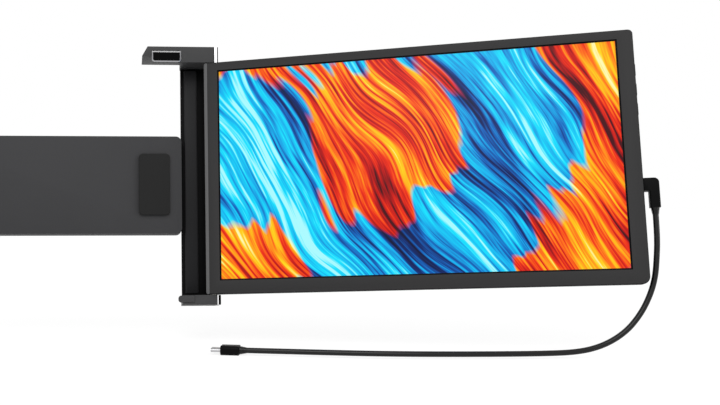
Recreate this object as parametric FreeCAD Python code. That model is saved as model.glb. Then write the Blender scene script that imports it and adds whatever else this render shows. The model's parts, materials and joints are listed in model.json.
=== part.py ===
"""Screen extender: a clamp frame that hooks over a lid, with one hinged side screen.

Millimetres. X runs right along the lid, Y away from the viewer, Z up. The origin is the seat of the
right-hand hook on the lid's top edge. Pieces are drawn standing upright, then leaned back with the
lid about the X axis. Screen pieces are drawn in line with the frame and then turned to the rest angle.
"""
import FreeCAD
import Part

import math
import os

Vec = FreeCAD.Vector
X_DIR, Y_DIR, Z_DIR = Vec(1, 0, 0), Vec(0, 1, 0), Vec(0, 0, 1)

# Rest attitude
LEAN = 8.2            # the lid leans back, degrees
REST_TURN = 18.2      # the screen is turned towards the viewer, degrees

# Display and screen housing
DISPLAY_W = 265.7     # 12 inch panel, 16 to 9
DISPLAY_H = 149.4
BEZEL_SIDE = 9.9
BEZEL_TOP = 6.0
BEZEL_FOOT = 9.4
SCREEN_T = 9.0
BEZEL_DEPTH = 2.2     # how far the front bezel wraps round the edge
BEZEL_FACE = 0.9
COVER_WALL = 1.2
COVER_BACK = 1.3
TOP_CORNER = 3.0
FOOT_CORNER = 5.0
HINGE_CORNER = 1.6
EDGE_ROUND = 0.7      # front edge of the bezel
HINGE_BEVEL = 2.4     # wide bevel down the hinge edge
BACK_ROUND = 1.4
GLASS_T = 1.1
LIGHT_T = 2.0
TRAY_T = 0.5
PANEL_LAP = 2.0       # how far the panel hides behind the bezel

# Clamp frame
LID_W = 304.1
LID_SLOT = 6.5
LIP_REACH = 10.4      # hook centre to the lid's side
FRONT_FACE = 1.8      # bracket metal in front of the slot
BRACKET_BACK = 17.0   # back of the brackets and spines
HOOK_RISE = 8.1       # bracket top above the lid
HOOK_DROP = 3.3       # bracket underside below the lid's top
FOOT_BRACKET_H = 6.6
BRACKET_W = 24.0
HOOK_ARM = 23.8       # arm past the lid's side
HOOK_TIP = 27.7
HOOK_TIP_H = 1.2
ARM_LIFT = 0.8
LIP_TOP = 5.1
LIP_PROUD = 1.15
PAD_T = 0.55
FINGER_H = 4.8
FINGER_LAP = 3.1
FINGER_BASE = 8.1
FINGER_DROP = 0.3
CAP_W = 2.5
CAP_CHAMFER = 1.2
SIDE_GAP = 0.4        # screen edge to bracket, and screen to spine
SPINE_T = 3.5
SPINE_SIDE = 0.4      # spine set in from the bracket's inner end
LEFT_SPINE_W = 20.4
RIB_W = 9.3
RIB_IN = 2.4
RIB_T = 2.5
RIB_END = 2.0

# Hinge
HINGE_X = 32.2        # axis from the hook centre
HINGE_IN = 4.5        # axis from the screen's outer edge
HINGE_Y = -1.6
PIN_R = 1.5
PIN_CLEAR = 0.05
PIN_IN_BRACKET = 5.0
BARREL_R = 2.9
BARREL_L = 16.0
PIN_L = 13.0
LEAF_LIFT = 0.4       # barrel and leaf stand off the inner corner
BUSH_R = 2.8
BUSH_HOLE_GAP = 0.3
AXIAL_GAP = 0.05
LEAF_L = 26.0
LEAF_T = 1.2
LEAF_SCREWS = (11.0, 20.0)

# Telescoping back
SLEEVE_LEFT = 185.0   # sleeve's open end from the spine
SLEEVE_Z = -90.0
SLEEVE_H = 70.0
SLEEVE_FRONT = 6.0
SLEEVE_SKIN = 1.6
SLEEVE_BACK = 2.0
TONGUE_L = 15.0
TONGUE_EDGE = 8.0
TONGUE_SCREW_IN = 6.0
SLEEVE_SCREW_SHARES = (0.3, 0.62, 0.935)
RAIL_H = 12.0
RAIL_T = 4.0
RAIL_SPACING = 32.0
RAIL_IN = 115.0       # rail inside the sleeve at rest
GUIDE_L = 48.0
GUIDE_H = 22.0
RUN_GAP = 0.15
STOP_L = 6.0
STOP_H = 16.0
BACK_PAD_W = 22.0
BACK_PAD_IN = 30.0    # right pad, from the lid's side
LEFT_PAD_IN = 6.0
BACK_PAD_H = 44.0
PAD_SLOT_GAP = 0.15
CARRIAGE_W = 32.0

# Ports and buttons on the screen's right edge
PORT_Z = -105.3       # powered port
SPARE_PORT_Z = -122.8
VIDEO_PORT_Z = -140.3
PORT_W, PORT_H, PORT_L = 8.9, 3.2, 6.5
VIDEO_W = 11.2
USB_TONGUE_W = 6.6
VIDEO_TONGUE_W = 8.4
PORT_WALL = 0.3
BUTTON_Z = -30.0
BUTTON_PITCH = 13.0
BUTTON_LEN, BUTTON_H = 8.0, 2.4
BUTTON_PROUD = 0.7
BUTTON_STEM = 3.4
BUTTON_TRAVEL = 0.5
BUTTON_GAP = 0.2
BOARD_T = 1.0
BOARD_W, BOARD_H = 62.0, 68.0
BOARD_ABOVE_PORT = 16.0
SPEAKER_W, SPEAKER_H = 32.0, 14.0
SPEAKER_SHARES = (0.17, 0.66)
SPEAKER_RISE = 24.0
SOUND_SLOTS, SOUND_PITCH = 6, 5.0
SOUND_SLOT_W, SOUND_SLOT_H = 1.6, 10.0

# Screws
SCREW_R = 0.9
SCREW_HEAD_R = 1.7
SCREW_HEAD_T = 0.8
BOSS_R = 2.2
COVER_SCREW_SHARES = (0.2, 0.5, 0.8)
COVER_SCREW_IN = 2.9   # post centre from the inner wall
COVER_SCREW_DROP = 10.0
SIDE_SCREW_SHARE = 0.3

# Cable
CORD_D = 3.6
PLUG_H = 8.5
PLUG_T = 6.2
PLUG_REACH = 9.6     # from the screen's edge to the plug's far side
PLUG_BODY_W = 6.3
PLUG_BODY_L = 19.0
PLUG_GAP = 0.4
RELIEF_L = 4.5
RELIEF_R = 2.7
SHELL_W, SHELL_T, SHELL_L = 8.2, 2.4, 6.2
SHELL_WALL = 0.4
SHELL_BORE_T = 1.5
CORD_START = 14.0     # straight run below the first strain relief
FAR_PLUG_L, FAR_PLUG_W, FAR_PLUG_T = 12.0, 10.5, 6.0

# Route of the cable from the first strain relief to the far one, in the leaned frame
CORD_ROUTE = [
    (304.2, -111.4, -138.0), (302.8, -112.1, -150.0), (299.2, -112.6, -161.0), (293.0, -113.0, -172.5),
    (283.5, -113.2, -183.5), (270.0, -113.0, -191.7), (254.0, -112.4, -196.0), (230.0, -111.4, -196.9),
    (186.0, -110.6, -196.9), (138.0, -106.4, -196.9), (95.0, -96.8, -196.9)]
CORD_END = (48.0, -84.4, -196.9)

slot_half = LID_SLOT / 2
front_y = -slot_half - FRONT_FACE
lid_right = LIP_REACH
lid_left = lid_right - LID_W
mid_x = (lid_right + lid_left) / 2
foot_top = -HOOK_DROP - SIDE_GAP - (DISPLAY_H + BEZEL_TOP + BEZEL_FOOT) - SIDE_GAP
foot_bottom = foot_top - FOOT_BRACKET_H
bracket_end = lid_right + BRACKET_W

screen_top = -HOOK_DROP - SIDE_GAP
screen_h = DISPLAY_H + BEZEL_TOP + BEZEL_FOOT
screen_bottom = screen_top - screen_h
screen_w = DISPLAY_W + 2 * BEZEL_SIDE
screen_left = HINGE_X - HINGE_IN
screen_right = screen_left + screen_w
face_y = HINGE_Y - SCREEN_T / 2
back_y = HINGE_Y + SCREEN_T / 2
bezel_y = face_y + BEZEL_DEPTH
display_left = screen_left + BEZEL_SIDE
display_right = display_left + DISPLAY_W
display_top = screen_top - BEZEL_TOP
display_bottom = display_top - DISPLAY_H
glass_y = face_y + BEZEL_FACE
light_y = glass_y + GLASS_T
tray_y = light_y + LIGHT_T
inner_back = back_y - COVER_BACK


def block(x, y, z):
    """A box from three (low, high) pairs."""
    return Part.makeBox(x[1] - x[0], y[1] - y[0], z[1] - z[0], Vec(x[0], y[0], z[0]))


def about(middle, size):
    """The (low, high) pair of a length centred on a value."""
    return middle - size / 2, middle + size / 2


def rod(radius, start, end):
    """A round bar between two points."""
    start, end = Vec(*start), Vec(*end)
    return Part.makeCylinder(radius, (end - start).Length, start, end - start)


def edges_along(shape, direction, keep):
    """Straight edges parallel to a direction whose middle passes a test."""
    found = []
    for edge in shape.Edges:
        if len(edge.Vertexes) != 2 or not isinstance(edge.Curve, Part.Line):
            continue
        run = edge.Vertexes[1].Point - edge.Vertexes[0].Point
        if abs(run.normalize().dot(direction)) > 0.999 and keep(edge.CenterOfMass):
            found.append(edge)
    return found


def rounded(shape, radius, direction, keep=lambda middle: True):
    """Fillet the edges that run along a direction."""
    return shape.makeFillet(radius, edges_along(shape, direction, keep))


def mirrored(shape):
    """The same piece for the left side of the lid."""
    return shape.mirror(Vec(mid_x, 0, 0), X_DIR)


def leaned(shape):
    shape = shape.copy()
    shape.rotate(Vec(0, 0, 0), X_DIR, -LEAN)
    return shape


def on_screen(shape):
    """Turn a screen piece about the hinge to its rest angle."""
    shape = shape.copy()
    shape.rotate(Vec(HINGE_X, HINGE_Y, 0), Z_DIR, -REST_TURN)
    return shape


def save(name, shape):
    """Write one node, placed in the leaned frame."""
    leaned(shape).exportStep("parts/" + name + ".step")


def save_screen(name, shape):
    save(name, on_screen(shape))


def screw(x, z, head_y, tip_y, head_r=SCREW_HEAD_R, shank_r=SCREW_R):
    """A countersunk-flush screw along Y: head at head_y, tip at tip_y."""
    way = math.copysign(1, tip_y - head_y)
    shelf = head_y + way * SCREW_HEAD_T
    head = rod(head_r, (x, head_y, z), (x, shelf, z))
    drive = rod(head_r * 0.45, (x, head_y, z), (x, head_y + way * SCREW_HEAD_T * 0.6, z))
    return head.fuse(rod(shank_r, (x, shelf, z), (x, tip_y, z))).cut(drive)


def screw_hole(x, z, head_y, tip_y, head_r=SCREW_HEAD_R, shank_r=SCREW_R):
    """The counterbored hole that the screw fills."""
    way = math.copysign(1, tip_y - head_y)
    shelf = head_y + way * SCREW_HEAD_T
    return rod(head_r, (x, head_y, z), (x, shelf, z)).fuse(rod(shank_r, (x, shelf, z), (x, tip_y, z)))


# Brackets
def hook_bracket():
    """Top bracket: a block beside the lid and a slant-ended arm over its top edge."""
    left = lid_right - HOOK_TIP
    outline = [
        (left, HOOK_TIP_H), (lid_right - HOOK_ARM, HOOK_RISE), (bracket_end, HOOK_RISE),
        (bracket_end, -HOOK_DROP), (lid_right, -HOOK_DROP), (lid_right, ARM_LIFT), (left, ARM_LIFT)]
    points = [Vec(x, front_y, z) for x, z in outline]
    face = Part.Face(Part.makePolygon(points + points[:1]))
    body = face.extrude(Vec(0, BRACKET_BACK - front_y, 0))
    pocket = block((-lip_half, lip_half), (front_y, lip_back), (ARM_LIFT, LIP_TOP))
    pad = block((-pad_half, pad_half), (-slot_half, slot_half), (0, ARM_LIFT))
    return body.cut(pocket).cut(pad)


def foot_bracket():
    """Bottom bracket beside the lid."""
    body = block((lid_right, bracket_end), (front_y, BRACKET_BACK), (foot_bottom, foot_top))
    recess = block((lid_right, lid_right + FINGER_BASE), (front_y, finger_back), finger_z)
    return body.cut(recess)


lip_half = LIP_REACH
lip_back = -slot_half - PAD_T
lip_front = front_y - LIP_PROUD
pad_half = lip_half - 1.4
finger_back = lip_back
finger_front = lip_front + 0.2
finger_z = (foot_top - FINGER_DROP - FINGER_H, foot_top - FINGER_DROP)


def hook_lip():
    """Front lip that drops over the lid's face, with rounded ends and softened edges."""
    lip = block((-lip_half, lip_half), (lip_front, lip_back), (-HOOK_DROP - 0.1, LIP_TOP))
    lip = rounded(lip, 1.6, Y_DIR, lambda middle: middle.z < 0)
    front = [edge for edge in lip.Edges if abs(edge.BoundBox.YMax - lip_front) < 1e-6]
    return lip.makeChamfer(0.45, front)


def lower_finger():
    """Small finger that laps the lid's side edge."""
    span = (lid_right - FINGER_LAP, lid_right + FINGER_BASE)
    finger = block(span, (finger_front, finger_back), finger_z)
    finger = rounded(finger, FINGER_H * 0.4, Y_DIR, lambda middle: middle.x < lid_right)
    front = [edge for edge in finger.Edges if abs(edge.BoundBox.YMax - finger_front) < 1e-6]
    return finger.makeChamfer(0.35, front)


def grip_pads():
    """Rubber behind the lip, under the arm and behind the finger."""
    lip_pad = block((-pad_half, pad_half), (lip_back, -slot_half), (-HOOK_DROP + 0.4, -0.4))
    seat_pad = block((-pad_half, pad_half), (-slot_half, slot_half), (0, ARM_LIFT))
    finger_pad = block((lid_right - FINGER_LAP + 0.6, lid_right - 0.2), (finger_back, -slot_half),
                       (finger_z[0] + 0.8, finger_z[1] - 0.8))
    return lip_pad, seat_pad, finger_pad


def end_cap(low, high):
    """Glossy cap on the hinge end of a bracket, with a chamfered front edge."""
    cap = block((bracket_end, bracket_end + CAP_W), (front_y, BRACKET_BACK), (low, high))
    edge = edges_along(cap, Z_DIR, lambda middle: middle.y < front_y + 1 and middle.x > bracket_end + 1)
    return cap.makeChamfer(CAP_CHAMFER, edge)


def bracket_screws(span):
    """Two screws down through each bracket into the spine."""
    plate_y = BRACKET_BACK - SPINE_T / 2
    sides = ((HOOK_RISE, -HOOK_DROP - 6), (foot_bottom, foot_top + 6))
    xs = (span[0] + 4.5, span[1] - 4.5)
    result = []
    for head_z, tip_z in sides:
        way = math.copysign(1, tip_z - head_z)
        for x in xs:
            shelf = head_z + way * 1.0
            head = rod(1.5, (x, plate_y, head_z), (x, plate_y, shelf))
            result.append(head.fuse(rod(SCREW_R, (x, plate_y, shelf), (x, plate_y, tip_z))))
    return result


top_block = hook_bracket()
foot_block = foot_bracket()
spine_span = (lid_right + SPINE_SIDE, HINGE_X - 1.0)
spine_z = (foot_top, -HOOK_DROP)
left_span = (lid_right + SPINE_SIDE, lid_right + LEFT_SPINE_W)


def spine(span):
    """Upright plate between the brackets."""
    return block(span, (BRACKET_BACK - SPINE_T, BRACKET_BACK), spine_z)


def rib(span):
    """Raised panel down the middle of the spine, with rounded long edges."""
    low = span[0] + RIB_IN
    back = BRACKET_BACK - SPINE_T
    strip = block((low, low + RIB_W), (back - RIB_T, back), (spine_z[0] + RIB_END, spine_z[1] - RIB_END))
    return rounded(strip, 1.0, Z_DIR, lambda middle: middle.y < back - 1)


def joined(solids):
    """Several separate solids kept in one node."""
    return Part.makeCompound(list(solids))


def cut_all(shape, tools):
    for tool in tools:
        shape = shape.cut(tool)
    return shape


# Hinge pins, held by the brackets
top_pin = rod(PIN_R, (HINGE_X, HINGE_Y, -HOOK_DROP + PIN_IN_BRACKET),
              (HINGE_X, HINGE_Y, -HOOK_DROP - PIN_L))
foot_pin = rod(PIN_R, (HINGE_X, HINGE_Y, foot_top - PIN_IN_BRACKET), (HINGE_X, HINGE_Y, foot_top + PIN_L))
wall_in = SIDE_GAP + COVER_WALL + LEAF_LIFT


def bush(low, high):
    ring = rod(BUSH_R, (HINGE_X, HINGE_Y, low), (HINGE_X, HINGE_Y, high))
    return ring.cut(rod(PIN_R, (HINGE_X, HINGE_Y, low), (HINGE_X, HINGE_Y, high)))


top_bush = bush(-HOOK_DROP - wall_in + AXIAL_GAP, -HOOK_DROP)
foot_bush = bush(foot_top, foot_top + wall_in - AXIAL_GAP)
right_screws = bracket_screws(spine_span)
left_screws = bracket_screws(left_span)

# Sleeve on the lid's back, lapped behind the spine
sleeve_right = lid_right + SPINE_SIDE
sleeve_x = (sleeve_right - SLEEVE_LEFT, sleeve_right)
sleeve_z = (SLEEVE_Z - SLEEVE_H / 2, SLEEVE_Z + SLEEVE_H / 2)
sleeve_back = BRACKET_BACK + SLEEVE_BACK
split_y = SLEEVE_FRONT + SLEEVE_SKIN
rail_y = (BRACKET_BACK - SPINE_T - RAIL_T, BRACKET_BACK - SPINE_T)
rail_zs = (SLEEVE_Z + RAIL_SPACING / 2, SLEEVE_Z - RAIL_SPACING / 2)
tongue_reach = SLEEVE_H / 2 - TONGUE_EDGE - TONGUE_SCREW_IN
tongue_screw_at = [(sleeve_right + TONGUE_L / 2, SLEEVE_Z + side * tongue_reach) for side in (-1, 1)]
sleeve_screw_at = [(sleeve_x[0] + SLEEVE_LEFT * share, SLEEVE_Z) for share in SLEEVE_SCREW_SHARES]


def sleeve_front():
    """Front skin with a skirt round three sides; the left end is open for the rails."""
    skin = block(sleeve_x, (SLEEVE_FRONT, split_y), sleeve_z)
    skin = rounded(skin, 4.0, Y_DIR, lambda middle: middle.x > sleeve_x[0] + 1)
    return cut_all(skin, [rod(SCREW_R, (x, split_y, z), (x, split_y - 1, z)) for x, z in sleeve_screw_at])


def sleeve_rear():
    """Rear shell: back, top and bottom walls, screw posts and the tongue behind the spine."""
    body = block(sleeve_x, (split_y, sleeve_back), sleeve_z)
    body = rounded(body, 4.0, Y_DIR, lambda middle: middle.x > sleeve_x[0] + 1)
    hollow = block((sleeve_x[0] - 1, sleeve_x[1] - SLEEVE_SKIN * 1.5), (split_y - 1, BRACKET_BACK),
                   (sleeve_z[0] + SLEEVE_SKIN, sleeve_z[1] - SLEEVE_SKIN))
    body = body.cut(hollow)
    for x, z in sleeve_screw_at:
        body = body.fuse(rod(BOSS_R, (x, split_y, z), (x, BRACKET_BACK, z)))
    tongue = block((sleeve_right - 4, sleeve_right + TONGUE_L), (BRACKET_BACK, sleeve_back),
                   (sleeve_z[0] + TONGUE_EDGE, sleeve_z[1] - TONGUE_EDGE))
    tongue = rounded(tongue, 3.0, Y_DIR, lambda middle: middle.x > sleeve_right)
    body = body.fuse(tongue).removeSplitter()
    body = rounded(body, 1.0, X_DIR, lambda middle: middle.y > sleeve_back - 0.1
                   and middle.x < sleeve_right - 5 and abs(abs(middle.z - SLEEVE_Z) - SLEEVE_H / 2) < 0.1)
    holes = [screw_hole(x, z, sleeve_back, split_y) for x, z in sleeve_screw_at]
    holes += [screw_hole(x, z, sleeve_back, BRACKET_BACK) for x, z in tongue_screw_at]
    return cut_all(body, holes)


def rail_guide(z):
    """Plastic block that each rail slides through."""
    span = (sleeve_x[0] + 1.0, sleeve_x[0] + 1.0 + GUIDE_L)
    body = block(span, (split_y, BRACKET_BACK), (z - GUIDE_H / 2, z + GUIDE_H / 2))
    slot = block((span[0] - 1, span[1] + 1), (rail_y[0] - RUN_GAP, rail_y[1] + RUN_GAP),
                 (z - RAIL_H / 2 - RUN_GAP, z + RAIL_H / 2 + RUN_GAP))
    return body.cut(slot)


def rail(z):
    """Flat steel rail from the left spine into the sleeve."""
    start = 2 * mid_x - left_span[1] + 2.0
    bar = block((start, sleeve_x[0] + RAIL_IN), rail_y, (z - RAIL_H / 2, z + RAIL_H / 2))
    return rounded(bar, 0.6, X_DIR)


def rail_stop(z):
    """Nylon shoe on the rail's inner end, too wide for the guide."""
    right = sleeve_x[0] + RAIL_IN
    shoe = block((right - STOP_L, right + 2), (split_y + 0.4, BRACKET_BACK - 0.4), about(z, STOP_H))
    return shoe.cut(block((right - STOP_L - 1, right), rail_y, about(z, RAIL_H)))


def spine_with_holes(span, screws, extra=()):
    return cut_all(cut_all(spine(span), screws), extra)


tongue_taps = [rod(SCREW_R, (x, BRACKET_BACK, z), (x, BRACKET_BACK - SPINE_T + 0.3, z))
               for x, z in tongue_screw_at]
tongue_screws = [screw(x, z, sleeve_back, BRACKET_BACK - SPINE_T + 0.5) for x, z in tongue_screw_at]
carriage_right = lid_left + CARRIAGE_W
carriage_x = (lid_left + 1.0, carriage_right)
carriage_y = (rail_y[0] - 2.5, rail_y[0])
carriage_screw_at = [(lid_left + 12.0 + 12.0 * k, z) for z in rail_zs for k in (0, 1)]
rail_end_screw_at = [(lid_left - LEFT_SPINE_W / 2, z) for z in rail_zs]


def carriage():
    """Plate across the two rails that carries the left back pad."""
    plate = block(carriage_x, carriage_y, sleeve_z)
    plate = rounded(plate, 3.0, Y_DIR)
    return cut_all(plate, [screw_hole(x, z, carriage_y[0], carriage_y[1]) for x, z in carriage_screw_at])


def rail_with_holes(z):
    taps = [rod(SCREW_R, (x, rail_y[0], at), (x, rail_y[0] + 3, at))
            for x, at in carriage_screw_at if at == z]
    taps += [rod(SCREW_R, (x, rail_y[1] - 3, at), (x, rail_y[1], at))
             for x, at in rail_end_screw_at if at == z]
    return cut_all(rail(z), taps)


def back_pad(x_low, seat_y):
    pad = block((x_low, x_low + BACK_PAD_W), (slot_half + PAD_SLOT_GAP, seat_y),
                (SLEEVE_Z - BACK_PAD_H / 2, SLEEVE_Z + BACK_PAD_H / 2))
    return rounded(pad, 3.0, Y_DIR)


def write_frame():
    """The fixed right-hand clamp."""
    lip_pad, seat_pad, finger_pad = grip_pads()
    top = cut_all(top_block, right_screws[:2] + [top_pin])
    foot = cut_all(foot_block, right_screws[2:] + [foot_pin])
    save("top_bracket", top)
    save("bottom_bracket", foot)
    save("hook_lip", hook_lip())
    save("lower_finger", lower_finger())
    save("grip_pads", joined([lip_pad, seat_pad, finger_pad]))
    save("top_end_cap", end_cap(-HOOK_DROP, HOOK_RISE))
    save("bottom_end_cap", end_cap(foot_bottom, foot_top))
    save("spine_plate", spine_with_holes(spine_span, right_screws, tongue_taps))
    save("spine_rib", rib(spine_span))
    save("bracket_screws", joined(right_screws))
    save("hinge_pins", joined([top_pin, foot_pin]))
    save("hinge_bushes", joined([top_bush, foot_bush]))
    save("sleeve_front", sleeve_front())
    save("sleeve_rear", sleeve_rear())
    save("sleeve_screws", joined([screw(x, z, sleeve_back, split_y - 0.8) for x, z in sleeve_screw_at]
                                 + tongue_screws))
    save("rail_guides", joined(rail_guide(z) for z in rail_zs))
    save("back_pad", back_pad(lid_right - BACK_PAD_IN, SLEEVE_FRONT))


def write_left_jaw():
    """The sliding jaw for the lid's other side."""
    pads = joined(mirrored(pad) for pad in grip_pads())
    trim = block((left_span[1], bracket_end + 1), (front_y - 1, BRACKET_BACK + 1),
                 (foot_bottom - 1, HOOK_RISE + 1))
    save("left_top_bracket", mirrored(cut_all(top_block, left_screws[:2] + [trim])))
    save("left_bottom_bracket", mirrored(cut_all(foot_block, left_screws[2:] + [trim])))
    save("left_hook_lip", mirrored(hook_lip()))
    save("left_lower_finger", mirrored(lower_finger()))
    save("left_grip_pads", pads)
    rail_holes = [screw_hole(x, z, BRACKET_BACK, rail_y[1]) for x, z in rail_end_screw_at]
    save("left_spine_plate", cut_all(mirrored(spine_with_holes(left_span, left_screws)), rail_holes))
    save("left_bracket_screws", joined(mirrored(one) for one in left_screws))
    save("upper_rail", rail_with_holes(rail_zs[0]))
    save("lower_rail", rail_with_holes(rail_zs[1]))
    save("rail_stops", joined(rail_stop(z) for z in rail_zs))
    save("carriage_plate", carriage())
    plate_screws = [screw(x, z, carriage_y[0], rail_y[0] + 2.8) for x, z in carriage_screw_at]
    end_screws = [screw(x, z, BRACKET_BACK, rail_y[1] - 2.8) for x, z in rail_end_screw_at]
    save("rail_screws", joined(plate_screws + end_screws))
    save("left_back_pad", back_pad(lid_left + LEFT_PAD_IN, carriage_y[0]))


# Screen housing
post_in = COVER_WALL + COVER_SCREW_IN
cover_screw_at = [(screen_left + screen_w * share, screen_bottom + post_in) for share in COVER_SCREW_SHARES]
cover_screw_at += [(screen_right - post_in, screen_top - COVER_SCREW_DROP)]
cover_screw_at += [(screen_left + post_in, screen_top - screen_h * share)
                   for share in (SIDE_SCREW_SHARE, 1 - SIDE_SCREW_SHARE)]
port_x = (screen_right - PORT_L, screen_right)
port_specs = [(PORT_Z, PORT_W), (SPARE_PORT_Z, PORT_W), (VIDEO_PORT_Z, VIDEO_W)]
button_zs = [BUTTON_Z - k * BUTTON_PITCH for k in range(3)]
switch_x = screen_right - COVER_WALL - BUTTON_STEM


def outline_box(y, inset):
    """The housing's outline as a slab, drawn in by a wall."""
    slab = block((screen_left + inset, screen_right - inset), y,
                 (screen_bottom + inset, screen_top - inset))
    centre = slab.CenterOfMass
    slab = rounded(slab, max(HINGE_CORNER - inset, 0.5), Y_DIR, lambda at: at.x < centre.x)
    for radius, side in ((TOP_CORNER, 1), (FOOT_CORNER, -1)):
        slab = rounded(slab, max(radius - inset, 0.5), Y_DIR,
                       lambda at: at.x > centre.x and (at.z - centre.z) * side > 0)
    return slab


def hinge_holes():
    radius = BUSH_R + BUSH_HOLE_GAP
    through = COVER_WALL + 1
    return [rod(radius, (HINGE_X, HINGE_Y, screen_top + 1), (HINGE_X, HINGE_Y, screen_top - through)),
            rod(radius, (HINGE_X, HINGE_Y, screen_bottom - 1), (HINGE_X, HINGE_Y, screen_bottom + through))]


def front_bezel():
    """Thin frame round the display, with a short skirt and softened front edges."""
    body = outline_box((face_y, bezel_y), 0)
    rim = [edge for edge in body.Edges if edge.BoundBox.YMax < face_y + 1e-6]
    body = body.makeChamfer(EDGE_ROUND, rim)
    bevel = [Vec(screen_left, face_y, screen_bottom), Vec(screen_left + HINGE_BEVEL, face_y, screen_bottom),
             Vec(screen_left, face_y + EDGE_ROUND, screen_bottom)]
    body = body.cut(Part.Face(Part.makePolygon(bevel + bevel[:1])).extrude(Vec(0, 0, screen_h)))
    body = body.cut(outline_box((glass_y, bezel_y + 1), COVER_WALL))
    window = block((display_left, display_right), (face_y - 1, glass_y + 1), (display_bottom, display_top))
    posts = [rod(BOSS_R, (x, glass_y, z), (x, bezel_y, z)) for x, z in cover_screw_at]
    body = body.cut(window)
    for post in posts:
        body = body.fuse(post)
    body = body.removeSplitter()
    return cut_all(body, hinge_holes() + [rod(SCREW_R, (x, glass_y + 0.4, z), (x, bezel_y, z))
                                          for x, z in cover_screw_at])


def rear_cover():
    """Deep tray with rounded back edges, screw posts, port cut-outs, button slots and sound slots."""
    body = outline_box((bezel_y, back_y), 0)
    rim = [edge for edge in body.Edges if abs(edge.BoundBox.YMin - back_y) < 1e-6]
    body = body.makeFillet(BACK_ROUND, rim)
    body = body.cut(outline_box((bezel_y - 1, inner_back), COVER_WALL))
    for x, z in cover_screw_at:
        body = body.fuse(rod(BOSS_R, (x, bezel_y, z), (x, inner_back, z)))
    body = body.removeSplitter()
    holes = hinge_holes() + [screw_hole(x, z, back_y, bezel_y) for x, z in cover_screw_at]
    edge_wall = (screen_right - COVER_WALL - 1, screen_right + 1)
    for z, width in port_specs:
        holes.append(block(edge_wall, about(HINGE_Y, PORT_H), about(z, width)))
    for z in button_zs:
        holes.append(block(edge_wall, about(HINGE_Y, BUTTON_H + 2 * BUTTON_GAP),
                           about(z, BUTTON_LEN + 2 * BUTTON_GAP)))
    for x in speaker_xs:
        for k in range(SOUND_SLOTS):
            slot_x = x + SOUND_PITCH * (k - (SOUND_SLOTS - 1) / 2)
            holes.append(block(about(slot_x, SOUND_SLOT_W), (inner_back - 1, back_y + 1),
                               about(speaker_z, SOUND_SLOT_H)))
    return cut_all(body, holes)


speaker_xs = [display_left + DISPLAY_W * share for share in SPEAKER_SHARES]
speaker_z = screen_bottom + SPEAKER_RISE
tray_back = tray_y + TRAY_T


def panel_layer(y):
    return block((display_left - PANEL_LAP, display_right + PANEL_LAP), y,
                 (display_bottom - PANEL_LAP, display_top + PANEL_LAP))


board_y = (HINGE_Y + PORT_H / 2, HINGE_Y + PORT_H / 2 + BOARD_T)
board_x = (port_x[1] - COVER_WALL - BOARD_W, port_x[1] - COVER_WALL - 0.2)
board_z = (PORT_Z + BOARD_ABOVE_PORT - BOARD_H, PORT_Z + BOARD_ABOVE_PORT)


def port(z, width, tongue_w):
    """Socket: a thin steel shell with a tongue inside."""
    shell = rounded(block(port_x, about(HINGE_Y, PORT_H), about(z, width)), PORT_H * 0.4, X_DIR)
    bore = block((port_x[0] + 0.5, port_x[1] + 1), about(HINGE_Y, PORT_H - 2 * PORT_WALL),
                 about(z, width - 2 * PORT_WALL))
    bore = rounded(bore, PORT_H * 0.3, X_DIR)
    tongue = block((port_x[0] + 0.2, port_x[1] - 1.2), about(HINGE_Y, 0.6), about(z, tongue_w))
    return shell.cut(bore).fuse(tongue)


def button(z):
    """Push button: a rounded cap that stands proud and a stem to its switch."""
    cap = block((screen_right - COVER_WALL, screen_right + BUTTON_PROUD), about(HINGE_Y, BUTTON_H),
                about(z, BUTTON_LEN))
    cap = rounded(cap, BUTTON_H * 0.4, X_DIR)
    stem = rod(0.8, (switch_x + BUTTON_TRAVEL + 0.1, HINGE_Y, z), (screen_right - COVER_WALL, HINGE_Y, z))
    return cap.fuse(stem)


def leaf(top):
    """Steel barrel round the pin and a flat leaf along the housing's back."""
    if top:
        high = screen_top - COVER_WALL - LEAF_LIFT
        low = high - BARREL_L
    else:
        low = screen_bottom + COVER_WALL + LEAF_LIFT
        high = low + BARREL_L
    barrel = rod(BARREL_R, (HINGE_X, HINGE_Y, low), (HINGE_X, HINGE_Y, high))
    plate = block((HINGE_X, HINGE_X + LEAF_L), (inner_back - LEAF_T, inner_back), (low, high))
    web = block((HINGE_X, HINGE_X + 2.2), (HINGE_Y, inner_back), (low, high))
    bore = rod(PIN_R + PIN_CLEAR, (HINGE_X, HINGE_Y, low - 1), (HINGE_X, HINGE_Y, high + 1))
    return barrel.fuse(plate).fuse(web).removeSplitter().cut(bore)


leaf_mid = COVER_WALL + LEAF_LIFT + BARREL_L / 2
leaf_screw_at = [(HINGE_X + x, z) for x in LEAF_SCREWS
                 for z in (screen_top - leaf_mid, screen_bottom + leaf_mid)]


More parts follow.
